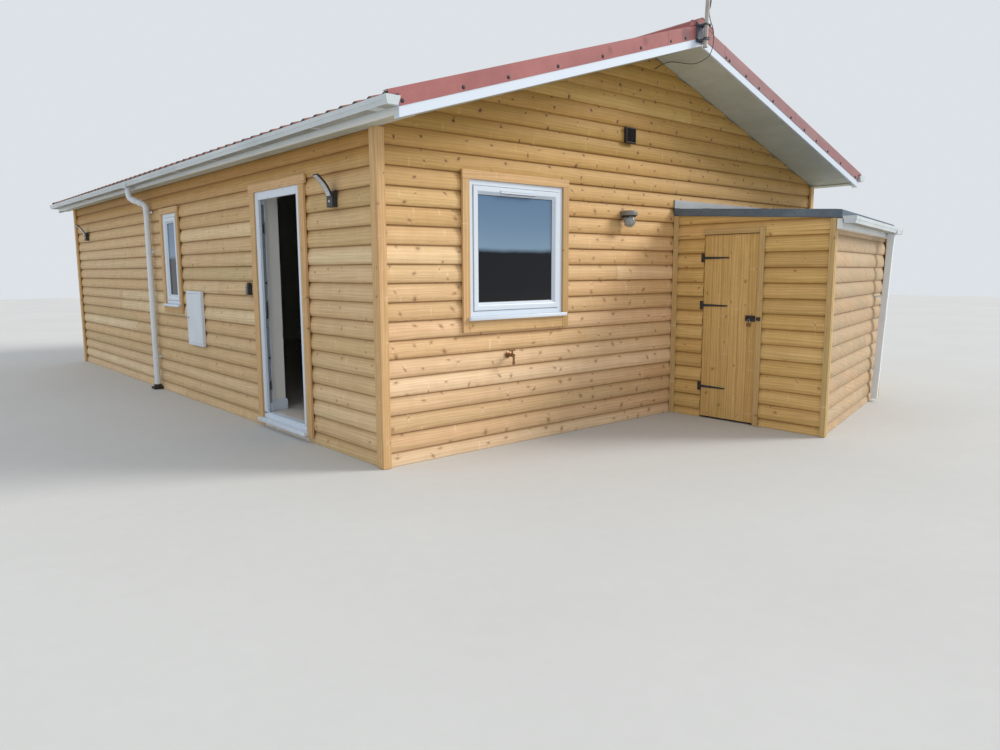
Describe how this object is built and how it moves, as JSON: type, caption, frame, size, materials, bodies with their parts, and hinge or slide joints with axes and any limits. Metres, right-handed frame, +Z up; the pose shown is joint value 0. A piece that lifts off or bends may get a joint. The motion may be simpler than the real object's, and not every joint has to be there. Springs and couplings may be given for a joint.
{
  "type": "beach hut",
  "caption": "Single-storey timber beach hut with a low gable roof of tile-effect sheets, a hinged entrance door, side windows, and a lean-to store with its own hinged door.",
  "frame": {"origin": "middle of the hut's footprint (without the store), on the ground under its floor", "axes": "+X along the front gable, to the right as seen from in front; +Y from the front gable, where the store stands, to the back gable; +Z up"},
  "size_m": [6.688, 11.5389, 4.3259],
  "materials": {
    "timber_boards": "stained softwood, satin",
    "new_timber": "stained softwood, satin",
    "floor_board": "pale floor, matte",
    "roof_deck": "plain board, matte",
    "roof_sheet": "terracotta coating, satin",
    "white_plastic": "white, smooth",
    "soffit_board": "pale grey-green, matte",
    "window_glass": "clear, dark behind",
    "roof_felt": "mineral felt, rough",
    "black_metal": "black coating, satin",
    "black_plastic": "black, matte",
    "lamp_metal": "dull grey",
    "tap_brass": "dull",
    "cream_metal": "cream coating, matte",
    "galvanised_steel": "galvanised",
    "cable_sheath": "black sheath",
    "handle_metal": "satin"
  },
  "bodies": {
    "hut": {"floor": "floor_board", "left_wall_front": "timber_boards", "left_wall_over_door": "timber_boards", "left_wall_rear": "timber_boards", "front_wall": "timber_boards", "back_wall": "timber_boards", "right_wall": "timber_boards", "roof_decks": "roof_deck", "roof_tiles": "roof_sheet", "ridge_cap": "roof_sheet", "verge_flashings": "roof_sheet", "bargeboards": "white_plastic", "soffits": "soffit_board", "fascias": "white_plastic", "gutters": "white_plastic", "downpipes": "white_plastic", "corner_boards": "new_timber", "door_frame": "white_plastic", "door_sill": "white_plastic", "door_trim": "new_timber", "window_frames": "white_plastic", "window_glass": "window_glass", "window_sills": "white_plastic", "window_trims": "new_timber", "meter_box": "white_plastic", "key_safe": "black_metal", "wall_lights": "black_metal", "gable_vent": "black_plastic", "bulkhead_lamp": "lamp_metal", "outside_tap": "tap_brass", "store_wall_hinge_side": "timber_boards", "store_wall_bolt_side": "timber_boards", "store_wall_over_door": "timber_boards", "store_outer_wall": "timber_boards", "store_far_wall": "timber_boards", "store_roof": "roof_felt", "store_trims": "new_timber", "mast": "cream_metal", "mast_bracket": "galvanised_steel", "aerial_cable": "cable_sheath", "store_hinge_plates": "black_metal"},
    "front_door": {"door_leaf": "white_plastic", "door_handles": "handle_metal"},
    "store_leaf": {"store_door": "timber_boards", "store_door_ironwork": "black_metal"}
  },
  "joints": [
    {"name": "main_door_hinge", "type": "hinge", "parent": "hut", "child": "front_door", "pos_m": [-2.995, -3.343, 1], "axis": [0, 0, 1], "range_deg": [0, 90]},
    {"name": "store_door_hinge", "type": "hinge", "parent": "hut", "child": "store_leaf", "pos_m": [0.354, -4.958, 1], "axis": [0, 0, -1], "range_deg": [0, 110]}
  ]
}
